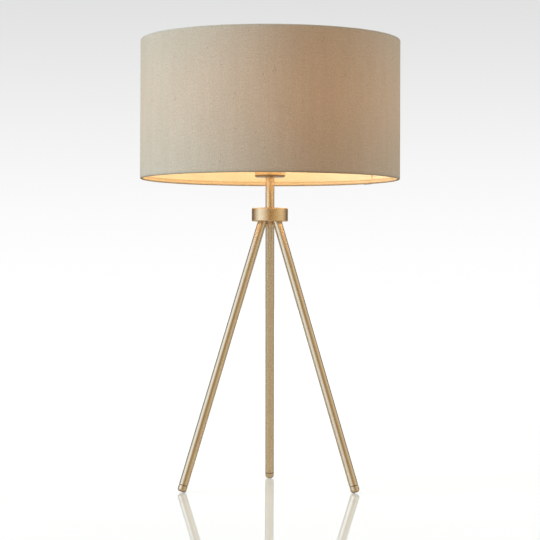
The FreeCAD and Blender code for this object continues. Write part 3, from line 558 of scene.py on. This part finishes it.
def two_faced(outer, inner):
    """Points and faces of a closed sheet: two grids of rows, joined all round their edges."""
    rows, columns = len(outer), len(outer[0])
    count = rows * columns
    points = [point for grid in (outer, inner) for row in grid for point in row]

    def at(layer, row, column):
        return layer * count + row * columns + column

    faces = []
    for row in range(rows - 1):
        for column in range(columns - 1):
            faces.append((at(0, row, column), at(0, row, column + 1),
                          at(0, row + 1, column + 1), at(0, row + 1, column)))
            faces.append((at(1, row, column), at(1, row + 1, column),
                          at(1, row + 1, column + 1), at(1, row, column + 1)))
    for row in range(rows - 1):
        for column, turn in ((0, 1), (columns - 1, -1)):
            ring = (at(0, row, column), at(0, row + 1, column), at(1, row + 1, column), at(1, row, column))
            faces.append(ring[::turn])
    for column in range(columns - 1):
        for row, turn in ((0, -1), (rows - 1, 1)):
            ring = (at(0, row, column), at(0, row, column + 1), at(1, row, column + 1), at(1, row, column))
            faces.append(ring[::turn])
    return points, faces


def wander(x, y, z, seed):
    """Smooth noise from -1 to 1, one kind for each seed."""
    return noise.noise(Vector((x + seed * 17.3, y - seed * 9.1, z + seed * 5.7)))


def ease(value):
    value = min(max(value, 0.0), 1.0)
    return value * value * (3 - 2 * value)


# ---------------------------------------------------------------- shade's cloth

def cloth_profile(radius, low, high):
    """The cloth's outer face in section: (radius, height, outward normal, kind), hem to hem."""
    centre = radius - ROLL_RADIUS
    meet = math.asin((centre - HEM_FACE) / ROLL_RADIUS)
    inward = math.sqrt(ROLL_RADIUS**2 - (centre - HEM_FACE) ** 2)
    sweep = 1.5 * math.pi - meet
    half = []
    for step in range(HEM_STEPS):
        share = step / HEM_STEPS
        height = low + HEM_HEIGHT - share * (HEM_HEIGHT - ROLL_RADIUS - inward)
        half.append((HEM_FACE, height, (-1.0, 0.0), "hem"))
    for step in range(ROLL_STEPS + 1):
        angle = 2 * math.pi - sweep * (1 - step / ROLL_STEPS)
        reach = (math.cos(angle), math.sin(angle))
        height = low + ROLL_RADIUS + ROLL_RADIUS * reach[1]
        half.append((centre + ROLL_RADIUS * reach[0], height, reach, "roll"))
    middle = (low + high) / 2
    wall = []
    for step in range(1, WALL_STEPS):
        height = low + ROLL_RADIUS + step / WALL_STEPS * (high - low - 2 * ROLL_RADIUS)
        wall.append((radius, height, (1.0, 0.0), "wall"))
    mirrored = [(r, 2 * middle - z, (nr, -nz), kind) for r, z, (nr, nz), kind in reversed(half)]
    return half + wall + mirrored


def shade_cloth(finish):
    """The drum's cloth in one strip, rolled over both wires and lapped over its own start."""
    low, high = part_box("shade_cloth")
    radius = high.x
    profile = cloth_profile(radius, low.z, high.z)
    length = 2 * math.pi * radius + LAP
    travel = [0.0]
    for (r0, z0, *_), (r1, z1, *_) in zip(profile, profile[1:]):
        travel.append(travel[-1] + math.hypot(r1 - r0, z1 - z0))
    outer, inner, uvs = [], [], []
    for (r, z, (nr, nz), kind), rise in zip(profile, travel):
        row_out, row_in = [], []
        for step in range(ROUND_STEPS + 1):
            run = length * step / ROUND_STEPS
            azimuth = math.radians(SEAM_AZIMUTH) + run / radius
            x, y = math.cos(azimuth), math.sin(azimuth)
            lift = LAP_LIFT * ease((run - (length - LAP - LAP_RUN)) / LAP_RUN)
            lift += WALL_WAVE * wander(x * 3, y * 3, z * 12, 1)
            if kind == "roll":
                lift += ROLL_WAVE * (1 + wander(x * 30, y * 30, rise * 60, 2))
            if kind == "hem":
                lift += HEM_PUCKER * (1 + wander(x * 26, y * 26, 0, 3))
            height = z
            edge = rise if rise < HEM_HEIGHT else travel[-1] - rise
            if edge < EDGE_DEPTH:
                side = 1 if z > (low.z + high.z) / 2 else -1
                height += side * EDGE_WAVE * wander(x * 60, y * 60, 0, 4)
            reach = r + nr * lift
            row_out.append((reach * x, reach * y, height + nz * lift))
            reach -= nr * CLOTH_THICK
            row_in.append((reach * x, reach * y, height + nz * (lift - CLOTH_THICK)))
            uvs.append((run, rise))
        outer.append(row_out)
        inner.append(row_in)
    points, faces = two_faced(outer, inner)
    piece = new_piece("shade_cover", points, faces, finish, uvs=uvs * 2)
    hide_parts("shade_cloth")


def liner_lap(finish):
    """The edge where the liner laps over itself, a low upright step that fades into the wall."""
    low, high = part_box("shade_liner")
    face = HEM_FACE + 0.5 * MM
    bottom = low.z + HEM_HEIGHT - 2 * ROLL_RADIUS
    top = high.z - HEM_HEIGHT + 2 * ROLL_RADIUS
    back, front = [], []
    for height in (bottom, (bottom + top) / 2, top):
        row_back, row_front = [], []
        for step in range(LINER_LAP_STEPS + 1):
            share = step / LINER_LAP_STEPS
            azimuth = math.radians(LINER_SEAM + LINER_LAP_RUN * share)
            x, y = math.cos(azimuth), math.sin(azimuth)
            thick = LINER_LAP_THICK * (1 - ease(share)) + 0.02 * MM
            row_back.append((face * x, face * y, height))
            row_front.append(((face - thick) * x, (face - thick) * y, height))
        back.append(row_back)
        front.append(row_front)
    points, faces = two_faced(back, front)
    piece = new_piece("liner_lap", points, faces, finish)
    piece.data.polygons.foreach_set("use_smooth", [False] * len(faces))


# ------------------------------------------------------------- light and camera

def surround():
    """White behind the lamp, and for gloss and shade a plain studio all round it."""
    world = bpy.data.worlds.new("studio")
    world.use_nodes = True
    bpy.context.scene.world = world
    graph = Graph(world.node_tree)
    x, y, z = graph.split(graph.place("Generated"))
    azimuth = graph.math("ARCTAN2", x, graph.math("MULTIPLY", y, -1.0))
    turn = graph.math("MULTIPLY_ADD", azimuth, 0.5 / math.pi, 0.5)
    room = graph.ramp(turn, [(degrees / 360 + 0.5, tint) for degrees, tint in SURROUND])
    room = graph.blend(graph.spread(z, 0.45, 0.95), room, CEILING)
    backdrop = graph.blend(graph.spread(z, -0.01, 0.20), BACKDROP, BACKDROP_TOP)
    paths = graph.add("ShaderNodeLightPath").outputs
    seen = graph.math("MAXIMUM", paths["Is Camera Ray"], paths["Is Transmission Ray"])
    shader = graph.add("ShaderNodeBackground", {"Color": graph.blend(seen, room, backdrop), "Strength": 1.0})
    output = graph.add("ShaderNodeOutputWorld")
    graph.feed(output.inputs["Surface"], shader.outputs[0])


def sun(name, azimuth, elevation, tint, strength, softness):
    """A far soft lamp, which lights cloth and floor but doesn't show in gloss."""
    lamp = bpy.data.lights.new(name, "SUN")
    lamp.color = tint
    lamp.energy = strength
    lamp.angle = math.radians(softness)
    thing = bpy.data.objects.new(name, lamp)
    bpy.context.scene.collection.objects.link(thing)
    side, up = math.radians(azimuth), math.radians(elevation)
    towards = Vector((math.sin(side) * math.cos(up), -math.cos(side) * math.cos(up), math.sin(up)))
    thing.matrix_world = towards.to_track_quat("Z", "Y").to_matrix().to_4x4()
    thing.visible_glossy = False


def bulb_light():
    """The bulb's own light. Its globe and plate let it through."""
    low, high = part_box("bulb_globe")
    lamp = bpy.data.lights.new("bulb_light", "POINT")
    lamp.color = BULB_TINT
    lamp.energy = BULB_POWER
    lamp.shadow_soft_size = (high.x - low.x) / 2 * 0.9
    thing = bpy.data.objects.new("bulb_light", lamp)
    thing.location = (0.0, 0.0, high.z - (high.x - low.x) / 2)
    bpy.context.scene.collection.objects.link(thing)
    thing.visible_glossy = False
    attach(thing, "bulb")
    for name in ("bulb_globe", "bulb_light_plate"):
        NODES[name].visible_shadow = False


def floor():
    """A wide, pale, slightly glossy floor."""
    rim = [2 * math.pi * corner / FLOOR_CORNERS for corner in range(FLOOR_CORNERS)]
    points = [(FLOOR_RADIUS * math.cos(angle), FLOOR_RADIUS * math.sin(angle), 0.0) for angle in rim]
    mesh = bpy.data.meshes.new("floor")
    mesh.from_pydata(points, [], [tuple(range(FLOOR_CORNERS))])
    thing = bpy.data.objects.new("floor", mesh)
    bpy.context.scene.collection.objects.link(thing)
    thing.location.z = -0.05 * MM

    def paint(graph):
        paths = graph.add("ShaderNodeLightPath").outputs
        ripple = graph.noise(graph.place(), 2.0, 2.0)
        return {
            "Base Color": graph.blend(
                paths["Is Camera Ray"],
                graph.blend(paths["Is Glossy Ray"], FLOOR_AROUND, FLOOR_IN_GLOSS),
                graph.blend(ripple, FLOOR_MID, FLOOR_LIGHT),
            ),
            "Roughness": 0.04,
            "IOR": 1.5,
            "Emission Color": FLOOR_GLOW,
            "Emission Strength": graph.math("MULTIPLY", paths["Is Camera Ray"], FLOOR_LIFT),
        }

    mesh.materials.append(material("floor", paint))


def camera():
    data = bpy.data.cameras.new("camera")
    data.lens = LENS
    data.sensor_width = SENSOR
    data.clip_end = 100.0
    thing = bpy.data.objects.new("camera", data)
    bpy.context.scene.collection.objects.link(thing)
    thing.matrix_world = (
        Matrix.Rotation(ORBIT, 4, "Z")
        @ Matrix.Translation(CAMERA_PLACE)
        @ Matrix.Rotation(CAMERA_TURN, 4, "Z")
        @ Matrix.Rotation(math.pi / 2 + CAMERA_UP, 4, "X")
        @ Matrix.Rotation(CAMERA_ROLL, 4, "Z")
    )
    bpy.context.scene.camera = thing


# --------------------------------------------------------------------- assembly

finishes = dress_nodes()
shade_cloth(finishes["shade_fabric"])
liner_lap(finishes["liner_film"])
surround()
for lamp in SUNS:
    sun(*lamp)
bulb_light()
floor()
camera()
bpy.context.scene.view_settings.view_transform = "Standard"
